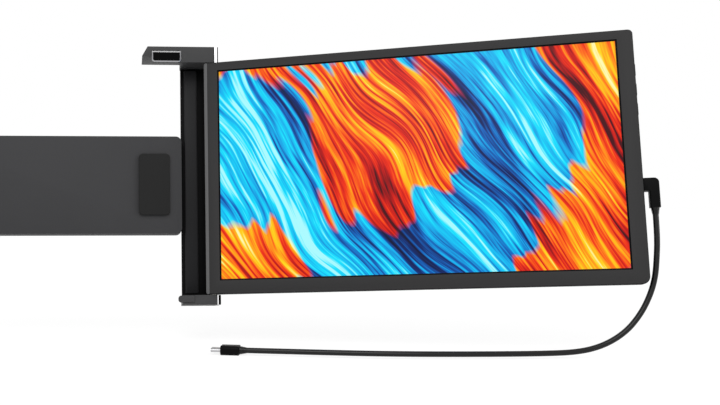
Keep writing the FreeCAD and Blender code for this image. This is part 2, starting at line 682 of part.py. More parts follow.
def write_screen():
    """Everything that swings on the hinge."""
    taps = [rod(SCREW_R, (x, inner_back - LEAF_T - 1, z), (x, inner_back + 0.7, z))
            for x, z in leaf_screw_at]
    save_screen("front_bezel", front_bezel())
    save_screen("rear_cover", cut_all(rear_cover(), taps))
    save_screen("display_glass", panel_layer((glass_y, light_y)))
    save_screen("backlight", panel_layer((light_y, tray_y)))
    save_screen("panel_tray", panel_layer((tray_y, tray_back)))
    board = block(board_x, board_y, board_z)
    chips = [block((board_x[0] + x, board_x[0] + x + w), (board_y[1], board_y[1] + 0.5), (z, z + w))
             for x, z, w in ((8, board_z[1] - 22, 12), (28, board_z[1] - 24, 8), (16, board_z[0] + 14, 9))]
    for chip in chips:
        board = board.fuse(chip)
    save_screen("main_board", board)
    save_screen("usb_port", port(PORT_Z, PORT_W, USB_TONGUE_W))
    save_screen("spare_usb_port", port(SPARE_PORT_Z, PORT_W, USB_TONGUE_W))
    save_screen("video_port", port(VIDEO_PORT_Z, VIDEO_W, VIDEO_TONGUE_W))
    save_screen("switch_board", block((switch_x - 3.0, switch_x), (HINGE_Y - 1.6, HINGE_Y + 1.2),
                                      (button_zs[-1] - 6, button_zs[0] + 6)))
    for name, z in zip(("power_button", "plus_button", "minus_button"), button_zs):
        save_screen(name, button(z))
    speakers = [rounded(block(about(x, SPEAKER_W), (tray_back + 0.2, inner_back - 0.1),
                              about(speaker_z, SPEAKER_H)), 2.0, Y_DIR) for x in speaker_xs]
    save_screen("speakers", joined(speakers))
    leaves = [cut_all(leaf(top), [rod(SCREW_R, (x, inner_back - LEAF_T, z), (x, inner_back, z))
                                  for x, z in leaf_screw_at]) for top in (True, False)]
    save_screen("hinge_leaves", joined(leaves))
    save_screen("leaf_screws", joined(screw(x, z, inner_back - LEAF_T - SCREW_HEAD_T, inner_back + 0.6)
                                      for x, z in leaf_screw_at))
    save_screen("cover_screws", joined(screw(x, z, back_y, bezel_y - 0.7) for x, z in cover_screw_at))


# Cable and its plugs
body_right = screen_right + PLUG_REACH
body_left = body_right - PLUG_BODY_W
head_top = PORT_Z + PLUG_H / 2
body_low = head_top - PLUG_BODY_L
body_mid = (body_left + body_right) / 2


def placed_point(x, y, z):
    """A point of the upright screen, turned and leaned."""
    mark = leaned(on_screen(Part.Vertex(x, y, z)))
    return mark.Point


def angle_plug():
    """Right-angled plug body: a head against the screen's edge and a leg that points down."""
    y = about(HINGE_Y, PLUG_T)
    head = block((screen_right + PLUG_GAP, body_right), y, (head_top - PLUG_H, head_top))
    leg = block((body_left, body_right), y, (body_low, head_top))
    body = head.fuse(leg).removeSplitter()
    corner = edges_along(body, Y_DIR,
                         lambda middle: middle.x > body_right - 0.1 and middle.z > head_top - 0.1)
    body = body.makeFillet(3.0, corner)
    return rounded(body, 1.2, Z_DIR, lambda middle: middle.z < head_top - PLUG_H)


def metal_shell(x):
    """The plug's metal tongue sleeve, hollow like the real one."""
    shell = rounded(block(x, about(HINGE_Y, SHELL_T), about(PORT_Z, SHELL_W)), SHELL_T * 0.45, X_DIR)
    return shell.cut(block((x[0] - 1, x[1] - 1.5), about(HINGE_Y, SHELL_BORE_T),
                           about(PORT_Z, SHELL_W - 2 * SHELL_WALL)))


relief_top = placed_point(body_mid, HINGE_Y, body_low)
relief_end = placed_point(body_mid, HINGE_Y, body_low - RELIEF_L)
exit_way = (relief_end - relief_top).normalize()


def cone(r_start, r_end, start, end):
    return Part.makeCone(r_start, r_end, (end - start).Length, start, end - start)


def cord_path(points):
    """Straight runs joined by arcs as large as the runs allow; returns the wire and its length."""
    edges = []
    radii = []
    last = points[0]
    length = 0.0
    for before, corner, after in zip(points, points[1:], points[2:]):
        into, out = corner - before, after - corner
        run = min(into.Length, out.Length)
        into.normalize()
        out.normalize()
        turn = math.acos(max(-1.0, min(1.0, into.dot(out))))
        setback = 0.45 * run
        radius = setback / math.tan(turn / 2)
        radii.append(round(radius, 1))
        start, end = corner - into * setback, corner + out * setback
        middle = corner + (out - into).normalize() * (radius / math.cos(turn / 2) - radius)
        edges.append(Part.LineSegment(last, start).toShape())
        edges.append(Part.Arc(start, middle, end).toShape())
        length += (start - last).Length + radius * turn
        last = end
    edges.append(Part.LineSegment(last, points[-1]).toShape())
    length += (points[-1] - last).Length
    return Part.Wire(edges), length, radii


def cord_tube(points):
    wire, length, radii = cord_path(points)
    way = (points[1] - points[0]).normalize()
    ring = Part.Wire([Part.makeCircle(CORD_D / 2, points[0], way)])
    tube = wire.makePipeShell([ring], True, False)
    ideal = math.pi * CORD_D ** 2 / 4 * length
    print("cord length", round(length, 1), "volume ratio", round(tube.Volume / ideal, 5))
    print("cord bend radii", radii, "least allowed", 5 * CORD_D)
    return tube


def far_plug(end, way):
    """Straight plug lying level: relief, body and metal sleeve, in the leaned frame."""
    side = Z_DIR.cross(way).normalize()
    relief = cone(CORD_D / 2 + 0.15, RELIEF_R, end, end + way * RELIEF_L)
    base = end + way * RELIEF_L

    def bar(low, high, width, thick, fillet):
        slab = block((low, high), about(0, width), about(0, thick))
        slab = rounded(slab, fillet, X_DIR)
        turn = FreeCAD.Matrix(way.x, side.x, 0, base.x, way.y, side.y, 0, base.y, 0, 0, 1, base.z,
                              0, 0, 0, 1)
        return placed(slab, turn)

    body = bar(0, FAR_PLUG_L, FAR_PLUG_W, FAR_PLUG_T, FAR_PLUG_T * 0.35)
    sleeve = bar(FAR_PLUG_L, FAR_PLUG_L + SHELL_L, SHELL_W, SHELL_T, SHELL_T * 0.45)
    bore = bar(FAR_PLUG_L + 1.0, FAR_PLUG_L + SHELL_L + 1, SHELL_W - 2 * SHELL_WALL, SHELL_BORE_T, 0.3)
    return relief, body, sleeve.cut(bore)


def placed(shape, matrix):
    shape = shape.copy()
    shape.Placement = FreeCAD.Placement(matrix).multiply(shape.Placement)
    return shape


def write_cable():
    """The cable rides on the screen: plug, reliefs, cord and far plug."""
    route = [relief_end, relief_end + exit_way * CORD_START]
    route += [Vec(*point) for point in CORD_ROUTE + [CORD_END]]
    way = (route[-1] - route[-2]).normalize()
    save_screen("angle_plug", angle_plug())
    shell_end = screen_right + PLUG_GAP
    save_screen("angle_plug_sleeve", metal_shell((shell_end - SHELL_L, shell_end)))
    relief = cone(RELIEF_R, CORD_D / 2 + 0.15, relief_top, relief_end)
    far_relief, body, sleeve = far_plug(route[-1], way)
    print("cord exit", [round(value, 2) for value in relief_end])
    print("cord second point", [round(value, 2) for value in route[1]])
    for name, shape in (("strain_relief", relief), ("cord", cord_tube(route)),
                        ("far_strain_relief", far_relief), ("far_plug", body), ("far_plug_sleeve", sleeve)):
        shape.exportStep("parts/" + name + ".step")


os.makedirs("parts", exist_ok=True)
write_frame()
write_left_jaw()
write_screen()
write_cable()
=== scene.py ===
# %% [markdown]
# # A clamp-on side screen, dressed piece by piece
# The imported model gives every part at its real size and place. This lesson adds what the eye sees:
# softened edges, polished bevels, a display picture, a ribbed strain relief and a cord that lies on
# the desk. Nothing here moves a part of the frame.

# %% Load the frame
import json
import math

import bpy
from mathutils import Matrix, Vector

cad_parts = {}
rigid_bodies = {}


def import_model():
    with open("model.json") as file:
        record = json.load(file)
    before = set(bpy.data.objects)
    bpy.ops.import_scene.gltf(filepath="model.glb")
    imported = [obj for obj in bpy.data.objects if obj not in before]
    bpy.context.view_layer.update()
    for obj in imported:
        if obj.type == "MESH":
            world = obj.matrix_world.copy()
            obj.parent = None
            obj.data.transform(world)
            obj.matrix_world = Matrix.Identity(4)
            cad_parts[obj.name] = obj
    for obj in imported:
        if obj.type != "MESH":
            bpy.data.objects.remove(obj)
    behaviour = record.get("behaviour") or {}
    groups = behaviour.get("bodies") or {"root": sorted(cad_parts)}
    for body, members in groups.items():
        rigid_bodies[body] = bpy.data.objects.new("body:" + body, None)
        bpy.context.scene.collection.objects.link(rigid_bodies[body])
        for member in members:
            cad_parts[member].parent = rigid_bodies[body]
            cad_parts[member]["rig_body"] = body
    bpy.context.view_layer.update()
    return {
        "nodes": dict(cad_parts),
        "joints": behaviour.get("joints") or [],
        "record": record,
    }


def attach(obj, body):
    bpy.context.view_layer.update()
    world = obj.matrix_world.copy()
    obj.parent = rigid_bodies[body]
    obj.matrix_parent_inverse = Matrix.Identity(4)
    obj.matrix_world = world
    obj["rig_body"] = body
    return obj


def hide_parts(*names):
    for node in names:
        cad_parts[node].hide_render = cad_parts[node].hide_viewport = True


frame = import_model()
nodes = frame["nodes"]
MM = 0.001
print("nodes loaded:", len(nodes))

# %% [markdown]
# ## Two working attitudes
# The real frame leans back a little, and the screen is turned towards the viewer. Modelling is far
# easier upright and square, so each piece is shaped upright and its mesh is put in place by one matrix
# at the end. The lean and the hinge come from the frame's own joint.

# %% Attitude matrices
hinge = next(joint for joint in frame["joints"] if joint["name"] == "screen_hinge")
lean = math.atan2(-hinge["axis"][1], -hinge["axis"][2])
REST_TURN = math.radians(18.2)
LEANED = Matrix.Rotation(-lean, 4, "X")
hinge_at = LEANED.inverted() @ Vector(hinge["pos_m"])
TURNED = (LEANED @ Matrix.Translation(hinge_at) @ Matrix.Rotation(-REST_TURN, 4, "Z")
          @ Matrix.Translation(-hinge_at))


def upright_box(name, attitude):
    """A node's lowest and highest corners in the upright attitude."""
    back = attitude.inverted()
    points = [back @ vertex.co for vertex in nodes[name].data.vertices]
    low = Vector([min(point[k] for point in points) for k in range(3)])
    high = Vector([max(point[k] for point in points) for k in range(3)])
    return low, high


housing_low, housing_high = upright_box("front_bezel", TURNED)
print("housing width mm", round((housing_high.x - housing_low.x) / MM, 1))

# %% [markdown]
# ## The camera first
# The photograph looks almost level and square at the clamp, from left of the screen, and crops the
# picture so that the camera's axis falls left of the middle. A lens shift copies that crop. The cord's
# spread is judged from here, so the camera is made before anything else.

# %% Camera
PHOTO_W = 720
AXIS_PX = 198.0
FOCAL_PX = 1008.2
SENSOR = 36.0
CAMERA_PLACE = (-0.0292, -0.7233, -0.1026)
CAMERA_TURN = math.radians(-4.12)
camera_data = bpy.data.cameras.new("photo_camera")
camera_data.sensor_width = SENSOR
camera_data.lens = FOCAL_PX * SENSOR / PHOTO_W
camera_data.shift_x = (PHOTO_W / 2 - AXIS_PX) / PHOTO_W
camera_data.clip_start = 0.01
camera = bpy.data.objects.new("photo_camera", camera_data)
bpy.context.scene.collection.objects.link(camera)
camera.location = CAMERA_PLACE
camera.rotation_euler = (math.radians(90), 0, CAMERA_TURN)
bpy.context.scene.camera = camera
bpy.context.scene.view_settings.view_transform = "Standard"
print("lens", round(camera_data.lens, 2), "shift", round(camera_data.shift_x, 3))

# %% [markdown]
# ## Shader sums written as sums
# A node tree for a pattern is a long chain of Math nodes. Wrapping a socket in a small class lets the
# chain be written as a Python expression, with the nodes added behind it.


# %% Shader helpers
class Flow:
    """One number socket of a material, with arithmetic that adds Math nodes."""

    def __init__(self, shader, socket):
        self.shader, self.socket = shader, socket

    def maths(self, operation, first, second=None):
        return self.shader.add("ShaderNodeMath", {"operation": operation}, {0: first, 1: second})

    def __add__(self, other):
        return self.maths("ADD", self, other)

    __radd__ = __add__

    def __sub__(self, other):
        return self.maths("SUBTRACT", self, other)

    def __mul__(self, other):
        return self.maths("MULTIPLY", self, other)

    def __gt__(self, other):
        return self.maths("GREATER_THAN", self, other)

    def __lt__(self, other):
        return self.maths("LESS_THAN", self, other)


class Shader:
    """A new material with its Principled node and one method that adds any other node."""

    def __init__(self, name):
        self.material = bpy.data.materials.new(name)
        self.material.use_nodes = True
        self.tree = self.material.node_tree
        self.surface = self.tree.nodes["Principled BSDF"]

    def add(self, kind, settings=None, links=None, output=0):
        node = self.tree.nodes.new(kind)
        for key, value in (settings or {}).items():
            if key == "stops":
                self.set_stops(node.color_ramp, value)
            else:
                setattr(node, key, value)
        for key, value in (links or {}).items():
            self.feed(node.inputs[key], value)
        return Flow(self, node.outputs[output])

    @staticmethod
    def set_stops(ramp, stops):
        while len(ramp.elements) > 1:
            ramp.elements.remove(ramp.elements[-1])
        for index, (place, colour) in enumerate(stops):
            element = ramp.elements[0] if index == 0 else ramp.elements.new(place)
            element.position = place
            element.color = (*colour, 1.0)

    def feed(self, socket, value):
        if isinstance(value, Flow):
            self.tree.links.new(value.socket, socket)
        elif value is not None:
            socket.default_value = value

    def set(self, **values):
        for key, value in values.items():
            self.feed(self.surface.inputs[key.replace("_", " ")], value)
        return self

    def place(self):
        return self.add("ShaderNodeTexCoord", output="Object")

    def noise(self, scale, detail=2.0, at=None, stretch=None):
        where = at or self.place()
        if stretch:
            where = self.add("ShaderNodeMapping", {}, {"Vector": where, "Scale": stretch})
        inputs = {"Vector": where, "Scale": scale, "Detail": detail}
        return self.add("ShaderNodeTexNoise", {}, inputs, "Fac")

    def blend(self, factor, first, second):
        node = self.tree.nodes.new("ShaderNodeMix")
        node.data_type = "RGBA"
        self.feed(node.inputs[0], factor)
        for index, colour in ((6, first), (7, second)):
            value = (*colour, 1.0) if isinstance(colour, tuple) else colour
            self.feed(node.inputs[index], value)
        return Flow(self, node.outputs[2])

    def bump(self, height, distance, strength=1.0):
        inputs = {"Height": height, "Distance": distance, "Strength": strength}
        return self.add("ShaderNodeBump", {}, inputs, "Normal")


# %% [markdown]
# ## Anodised metal and moulded plastic
# Both are one dark grey from a step away. Close up the metal has a fine bead-blasted grain and the
# plastic a slightly coarser moulded one, and both are a little smoother in slow random patches.


# %% Grained finishes
DRIFT_SCALE = 35.0
DRIFT_SHARE = 0.7
GRAIN_SHARE = 0.3
ROUGH_SWING = 0.12


def grained(name, base, rough, grain_scale, grain_height, gloss=0.2, spread=0.12):
    """A surface with fine grain, slow colour drift and slightly uneven gloss."""
    shader = Shader(name)
    drift = shader.noise(DRIFT_SCALE, 3.0)
    grain = shader.noise(grain_scale, 2.0)
    dark = tuple(value * (1 - spread) for value in base)
    light = tuple(value * (1 + spread) for value in base)
    shader.set(Base_Color=shader.blend(drift * DRIFT_SHARE + grain * GRAIN_SHARE, dark, light))
    shader.set(Roughness=rough - ROUGH_SWING / 2 + drift * ROUGH_SWING, Specular_IOR_Level=gloss)
    shader.set(Normal=shader.bump(grain, grain_height))
    return shader.material


bracket_metal = grained("bracket_metal", (0.040, 0.040, 0.041), 0.5, 2600.0, 0.00002)
housing_plastic = grained("housing_plastic", (0.022, 0.0215, 0.022), 0.55, 1800.0, 0.00003)
cover_plastic = grained("cover_plastic", (0.034, 0.034, 0.036), 0.58, 1500.0, 0.00004)
# near-black copy of the plastic for the bezel's faces that do not look forward: painted shade
painted_shade_plastic = grained("painted_shade_plastic", (0.006, 0.006, 0.0065), 0.5, 1800.0, 0.00002, 0.08)
# lighter copy of the plastic for the bezel's hinge slope: painted highlight
painted_highlight_plastic = grained("painted_highlight_plastic", (0.10, 0.10, 0.102), 0.4, 1800.0, 0.00001, 0.3)
# near-black copy of the bracket metal for the spine plate's grooves: painted shade
painted_shade_recess_metal = grained("painted_shade_recess_metal", (0.003, 0.003, 0.0032), 0.5, 2600.0, 0.00002, 0.05)
# darker copy of the bracket metal for the spine rib and the left spine plate: painted shade
painted_shade_rib_metal = grained("painted_shade_rib_metal", (0.012, 0.012, 0.013), 0.45, 2600.0, 0.00002, 0.12)
pad_rubber = grained("pad_rubber", (0.012, 0.012, 0.012), 0.8, 900.0, 0.00006)
cord_rubber = grained("cord_rubber", (0.002, 0.002, 0.0021), 0.26, 1200.0, 0.00001, 0.30)
plug_plastic = grained("plug_plastic", (0.0025, 0.0025, 0.0027), 0.42, 1500.0, 0.00002, 0.06)
nylon_white = grained("nylon_white", (0.55, 0.54, 0.50), 0.45, 900.0, 0.00003, spread=0.05)
diffuser_white = grained("diffuser_white", (0.75, 0.75, 0.75), 0.6, 600.0, 0.00002, spread=0.03)
board_green = grained("board_green", (0.02, 0.10, 0.05), 0.35, 700.0, 0.00003)
print("grained finishes made")


# %% [markdown]
# ## Polished edges and brushed steel
# The lips and end caps are polished black; their bright metal cap faces and bevels are painted reflection
# and highlight, with a dimmer copy as painted shade on the lips' lower bevels, and screws and rails are
# plain steel.
# A polished surface shows itself by what it mirrors, so it needs little colour and only faint smears in
# its gloss. Drawn steel has fine lines along one direction, made by stretching noise along that axis.

# %% Polished black and metals
SMEAR_SCALE = 60.0
SMEAR_SWING = 0.08
LINES_ALONG, LINES_ACROSS = 20.0, 1500.0


def polished(name, base, rough, metallic, gloss=0.5):
    """A smooth surface with faint smears that only show in its gloss."""
    shader = Shader(name)
    smear = shader.noise(SMEAR_SCALE, 4.0, stretch=(1.0, 1.0, 0.3))
    light = tuple(min(value * 1.1 + 0.001, 1.0) for value in base)
    shader.set(Base_Color=shader.blend(smear, base, light), Roughness=rough + smear * SMEAR_SWING)
    shader.set(Metallic=metallic, Specular_IOR_Level=gloss)
    return shader.material


def brushed(name, base, along):
    """Steel with fine lines along one direction."""
    shader = Shader(name)
    stretch = tuple(LINES_ALONG if axis == along else LINES_ACROSS for axis in "XYZ")
    lines = shader.noise(1.0, 2.0, stretch=stretch)
    dark = tuple(value * 0.8 for value in base)
    shader.set(Base_Color=shader.blend(lines, dark, base), Roughness=0.22 + lines * 0.18, Metallic=1.0)
    shader.set(Normal=shader.bump(lines, 0.00001))
    return shader.material


gloss_black = polished("gloss_black", (0.0005, 0.0005, 0.0006), 0.10, 0.0, 0.015)
# bright metal for the caps' front faces and the lips' upper bevels: painted reflection and painted
# highlight
painted_highlight_bevel = polished("painted_highlight_bevel", (0.93, 0.93, 0.94), 0.38, 1.0)
# dimmer copy for the lips' lower bevels: painted shade
painted_shade_bevel = polished("painted_shade_bevel", (0.36, 0.36, 0.37), 0.25, 1.0)
screw_steel = brushed("screw_steel", (0.42, 0.42, 0.43), "Y")
rail_steel = brushed("rail_steel", (0.56, 0.56, 0.57), "X")
print("polished and brushed finishes made")

# %% [markdown]
# ## The display picture
# The lit picture is a shader on the panel's own UV map, where one unit of the map is one panel height.
# It is a plain house design: soft ribbons that lean to the left, warm ones crossing cool ones. The
# ribbons come from noise squeezed across the lean, and a second, broad noise chooses warm or cool. A
# black border one millimetre wide is the panel's own mask around the lit area.

# %% Display material
PANEL_ASPECT = 265.7 / 149.4
RIBBON_LEAN = math.radians(122)
BORDER = 1.0 / 149.4
SWIRL_SCALE = 1.3
SWIRL_ALONG, SWIRL_SIDE = 0.2, 0.4
RIBBON_STRETCH = (0.9, 7.0, 0.4)
THREAD_STRETCH = (2.6, 60.0, 1.7)
MOOD_SCALE = 1.5
MOOD_START = (5.2, 7.7, 0.0)
MOOD_SWAY = 0.55
WARM_BELOW, COOL_ABOVE = 0.495, 0.52
RIBBON_WEIGHT, THREAD_WEIGHT = 2.0, 1.7
MIDDLE_TONE = 0.52
WARM_STOPS = [
    (0.05, (0.06, 0.001, 0.004)), (0.22, (0.52, 0.004, 0.002)), (0.38, (0.86, 0.025, 0.001)),
    (0.54, (1.0, 0.17, 0.001)), (0.70, (1.0, 0.44, 0.001)), (0.86, (1.0, 0.68, 0.003)),
    (1.0, (1.0, 0.95, 0.45))]
COOL_STOPS = [
    (0.05, (0.001, 0.004, 0.03)), (0.28, (0.001, 0.02, 0.15)), (0.45, (0.0, 0.12, 0.50)),
    (0.62, (0.0, 0.42, 0.84)), (0.84, (0.0, 0.78, 1.0)), (1.0, (0.40, 0.95, 1.0))]


def ribbon_picture():
    shader = Shader("display_picture")
    flat = shader.add("ShaderNodeUVMap", {"uv_map": "panel"})
    split = shader.tree.nodes.new("ShaderNodeSeparateXYZ")
    shader.feed(split.inputs[0], flat)
    across, up = Flow(shader, split.outputs[0]), Flow(shader, split.outputs[1])
    swirl = shader.noise(SWIRL_SCALE, 1.0, at=flat) - 0.5
    along = across * math.cos(RIBBON_LEAN) + up * math.sin(RIBBON_LEAN) + swirl * SWIRL_ALONG
    side = up * math.cos(RIBBON_LEAN) - across * math.sin(RIBBON_LEAN) + swirl * SWIRL_SIDE

    def squeezed(stretch, detail):
        """Noise drawn out along the lean and squeezed across it."""
        lane = {0: along * stretch[0], 1: side * stretch[1], 2: stretch[2]}
        return shader.noise(1.0, detail, at=shader.add("ShaderNodeCombineXYZ", {}, lane))

    ribbon = squeezed(RIBBON_STRETCH, 2.5)
    thread = squeezed(THREAD_STRETCH, 3.0)
    mood_place = shader.add("ShaderNodeVectorMath", {"operation": "ADD"}, {0: flat, 1: MOOD_START})
    mood = shader.noise(MOOD_SCALE, 0.0, at=mood_place)
    tone = (ribbon - 0.5) * RIBBON_WEIGHT + (thread - 0.5) * THREAD_WEIGHT + MIDDLE_TONE
    warm = shader.add("ShaderNodeValToRGB", {"stops": WARM_STOPS}, {0: tone})
    cool = shader.add("ShaderNodeValToRGB", {"stops": COOL_STOPS}, {0: tone})
    swayed = mood + (ribbon - 0.5) * MOOD_SWAY
    choice = shader.add("ShaderNodeMapRange", {"clamp": True},
                        {0: swayed, 1: WARM_BELOW, 2: COOL_ABOVE, 3: 0.0, 4: 1.0})
    picture = shader.blend(choice, warm, cool)
    lit_x = (across > BORDER) * (across < PANEL_ASPECT - BORDER)
    lit = lit_x * (up > BORDER) * (up < 1.0 - BORDER)
    dust = shader.noise(90.0, 3.0)
    shader.set(Base_Color=shader.blend(dust, (0.002, 0.002, 0.0025), (0.004, 0.004, 0.005)))
    shader.set(Roughness=0.32 + dust * 0.1, Specular_IOR_Level=0.12, Emission_Strength=1.0)
    shader.set(Emission_Color=shader.blend(lit, (0.0, 0.0, 0.0), picture))
    return shader.material


display_picture = ribbon_picture()
print("display picture nodes", len(display_picture.node_tree.nodes))

# %% [markdown]
# ## Small modelling habits
# Operators act on whatever is selected, so every start clears the selection. Faces and edges are then
# picked in code by where they lie. A finished piece keeps its object at the origin, and its mesh is
# moved by the attitude matrix.


# %% Modelling helpers
NEAR = 0.0001
ALONG = 0.9
MERGE_REACH = 0.000002
FLAT_ANGLE = math.radians(1.0)


def only(piece):
    """Select one object and make it active."""
    if bpy.context.object and bpy.context.object.mode != "OBJECT":
        bpy.ops.object.mode_set(mode="OBJECT")
    bpy.ops.object.select_all(action="DESELECT")
    piece.select_set(True)
    bpy.context.view_layer.objects.active = piece


def start_block(name, low, high):
    """A cube primitive stretched between two corners, with its size applied."""
    bpy.ops.object.select_all(action="DESELECT")
    middle = (Vector(low) + Vector(high)) / 2
    bpy.ops.mesh.primitive_cube_add(size=1.0, location=middle)
    piece = bpy.context.object
    piece.name = name
    piece.scale = Vector(high) - Vector(low)
    bpy.ops.object.transform_apply(location=True, rotation=True, scale=True)
    return piece


def pick(piece, part, test):
    """Enter edit mode with only the edges or faces that pass a test selected."""
    only(piece)
    bpy.ops.object.mode_set(mode="EDIT")
    bpy.ops.mesh.select_mode(type=part)
    bpy.ops.mesh.select_all(action="DESELECT")
    bpy.ops.object.mode_set(mode="OBJECT")
    mesh = piece.data
    if part == "EDGE":
        for edge in mesh.edges:
            first, last = (mesh.vertices[index].co for index in edge.vertices)
            edge.select = test((first + last) / 2, (last - first).normalized())
    else:
        for face in mesh.polygons:
            face.select = test(face.center, face.normal)
    bpy.ops.object.mode_set(mode="EDIT")


def leave():
    bpy.ops.object.mode_set(mode="OBJECT")


def bevel_edges(piece, test, offset, segments=1):
    """Bevel only the edges that pass a test."""
    pick(piece, "EDGE", test)
    bpy.ops.mesh.bevel(offset=offset, segments=segments, affect="EDGES")
    leave()


def carve(piece, cutter):
    """Subtract one closed mesh from another and delete the cutter."""
    only(piece)
    modifier = piece.modifiers.new("carve", "BOOLEAN")
    modifier.operation = "DIFFERENCE"
    modifier.solver = "EXACT"
    modifier.object = cutter
    bpy.ops.object.modifier_apply(modifier="carve")
    bpy.data.objects.remove(cutter)


def soften(piece, width, segments=2, angle=35.0):
    """Round every sharp edge a little and shade by angle."""
    only(piece)
    modifier = piece.modifiers.new("soften", "BEVEL")
    modifier.width = width
    modifier.segments = segments
    modifier.limit_method = "ANGLE"
    modifier.angle_limit = math.radians(angle)
    modifier.use_clamp_overlap = True
    bpy.ops.object.modifier_apply(modifier="soften")
    bpy.ops.object.shade_smooth_by_angle(angle=math.radians(angle))


def settle(piece, attitude, body, slot, materials, *replaced):
    """Put the mesh in place, hand the piece to its body and give it its finish."""
    only(piece)
    piece.data.transform(attitude)
    piece.data.update()
    for material in materials:
        piece.data.materials.append(material)
    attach(piece, body)
    if replaced:
        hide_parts(*replaced)
    print(piece.name, "faces", len(piece.data.polygons))
    return piece


def softened_copy(node, name, width, material, segments=2):
    """A merged copy of a machined node with its sharp edges eased, standing for that node."""
    piece = bpy.data.objects.new(name, nodes[node].data.copy())
    bpy.context.scene.collection.objects.link(piece)
    piece.data.materials.clear()
    only(piece)
    bpy.ops.object.mode_set(mode="EDIT")
    bpy.ops.mesh.select_all(action="SELECT")
    bpy.ops.mesh.remove_doubles(threshold=MERGE_REACH)
    bpy.ops.mesh.dissolve_limited(angle_limit=FLAT_ANGLE)
    bpy.ops.mesh.normals_make_consistent(inside=False)
    leave()
    soften(piece, width, segments)
    return settle(piece, Matrix.Identity(4), nodes[node]["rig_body"], slot_of[node], [material], node)


slot_of = {part["node"]: part["material_slot"] for part in frame["record"]["subparts"]}
print("nodes with a slot:", len(slot_of))

# %% [markdown]
# ## Eased edges on the machined pieces
# A real bracket never has a knife edge: the anodised metal is tumbled, so a thin highlight runs along
# every corner. Each copy is merged, its flat faces are joined back into one, and a narrow bevel does
# the rest. This keeps the machined shape and adds only what light catches.

# %% Clamp pieces
EASED = 0.00035
FINE = 0.00018
for node in ("top_bracket", "bottom_bracket", "left_top_bracket", "left_bottom_bracket"):
    softened_copy(node, node + "_finish", EASED, bracket_metal, 3)
for node in ("lower_finger", "left_lower_finger"):
    softened_copy(node, node + "_finish", FINE, bracket_metal)
# the spine plate and rib get darkened copies of the bracket metal: painted shade in the recess
SPINES = {"spine_plate": painted_shade_recess_metal, "spine_rib": painted_shade_rib_metal, "left_spine_plate": painted_shade_rib_metal}
for node, finish in SPINES.items():
    softened_copy(node, node + "_finish", FINE, finish)
for node in ("sleeve_front", "sleeve_rear", "carriage_plate"):
    softened_copy(node, node + "_finish", EASED, cover_plastic)
for node in ("back_pad", "left_back_pad"):
    softened_copy(node, node + "_finish", EASED, pad_rubber)

# %% [markdown]
# ## The hook lip and its bright bevel
# The lip is a polished black bar. Its long edges are cut at a slant in bright metal: the upper bevel gets
# a brighter copy, a painted highlight that is the white line over the lip, and the lower bevel a dimmer
# copy, painted shade. A box is given round lower corners, then its front edges are bevelled, and the
# faces that the bevel made are given the two metals.


# %% Hook lips
LIP_TOP_BEVEL = 0.0015
LIP_BEVEL = 0.0008
LIP_CORNER = 0.0020


def hook_lip(node, body):
    low, high = upright_box(node, LEANED)
    piece = start_block(node + "_bar", low, high)
    bevel_edges(piece, lambda middle, way: abs(way.y) > ALONG and middle.z < low.z + MM, LIP_CORNER, 6)
    front = low.y + NEAR
    bevel_edges(piece, lambda middle, way: middle.y < front and middle.z > high.z - NEAR, LIP_TOP_BEVEL)
    below = high.z - LIP_TOP_BEVEL - NEAR
    bevel_edges(piece, lambda middle, way: middle.y < front and middle.z < below, LIP_BEVEL)
    finishes = [gloss_black, painted_highlight_bevel, painted_shade_bevel]
    settle(piece, Matrix.Identity(4), body, slot_of[node], finishes, node)
    # upward bevel faces get the bright copy, a painted highlight, and downward ones the dimmer copy,
    # painted shade
    for face in piece.data.polygons:
        if -0.9 < face.normal.y < -0.3:
            face.material_index = 1 if face.normal.z > 0.3 else 2
    piece.data.transform(LEANED)
    return piece


hook_lip("hook_lip", "clamp_frame")
hook_lip("left_hook_lip", "left_jaw")

# %% [markdown]
# ## End caps
# Each bracket ends at the hinge in a polished black cap whose front corner is bevelled. Its front face is
# given bright metal, a painted reflection, so seen from the front the cap is a bright line and the black
# bevel beside it a dark one. The two caps are cut differently: the upper has a narrow bevel and the lower
# a wide one.


# %% End caps
TOP_CAP_BEVEL = 0.0008
FOOT_CAP_BEVEL = 0.0019


def end_cap(node, bevel):
    low, high = upright_box(node, LEANED)
    piece = start_block(node + "_gloss", low, high)

    def front_corner(middle, way):
        return abs(way.z) > ALONG and middle.y < low.y + MM and middle.x > low.x + MM

    bevel_edges(piece, front_corner, bevel)
    finishes = [gloss_black, painted_highlight_bevel]
    settle(piece, Matrix.Identity(4), "clamp_frame", slot_of[node], finishes, node)
    # the front face gets bright metal, a painted reflection; the rest stays polished black
    for face in piece.data.polygons:
        face.material_index = 1 if face.normal.y < -ALONG else 0
    piece.data.transform(LEANED)
    return piece


end_cap("top_end_cap", TOP_CAP_BEVEL)
end_cap("bottom_end_cap", FOOT_CAP_BEVEL)

# %% [markdown]
# ## The bezel
# The front frame is one moulding. It starts as a slab with four rounded corners, two tight ones above
# and two wider ones below. Its front edge is rounded, the window is carved with straight walls, and a
# narrow bevel eases what is left. The hinge edge has a wide shallow slope, given a lighter copy of the
# plastic as painted highlight, and every face that does not look forward gets a near-black copy as
# painted shade.

# %% Front bezel
TOP_CORNER = 0.003
FOOT_CORNER = 0.005
HINGE_CORNER = 0.0016
FRONT_ROUND = 0.0007
HINGE_BEVEL = 0.0024
CUT_REACH = 0.01
POCKET_ROOM = 0.0003
SLOPE_MATCH = 0.03
panel_low, panel_high = upright_box("display_glass", TURNED)
PANEL_LAP = 0.002
window_low = Vector((panel_low.x + PANEL_LAP, 0, panel_low.z + PANEL_LAP))
window_high = Vector((panel_high.x - PANEL_LAP, 0, panel_high.z - PANEL_LAP))


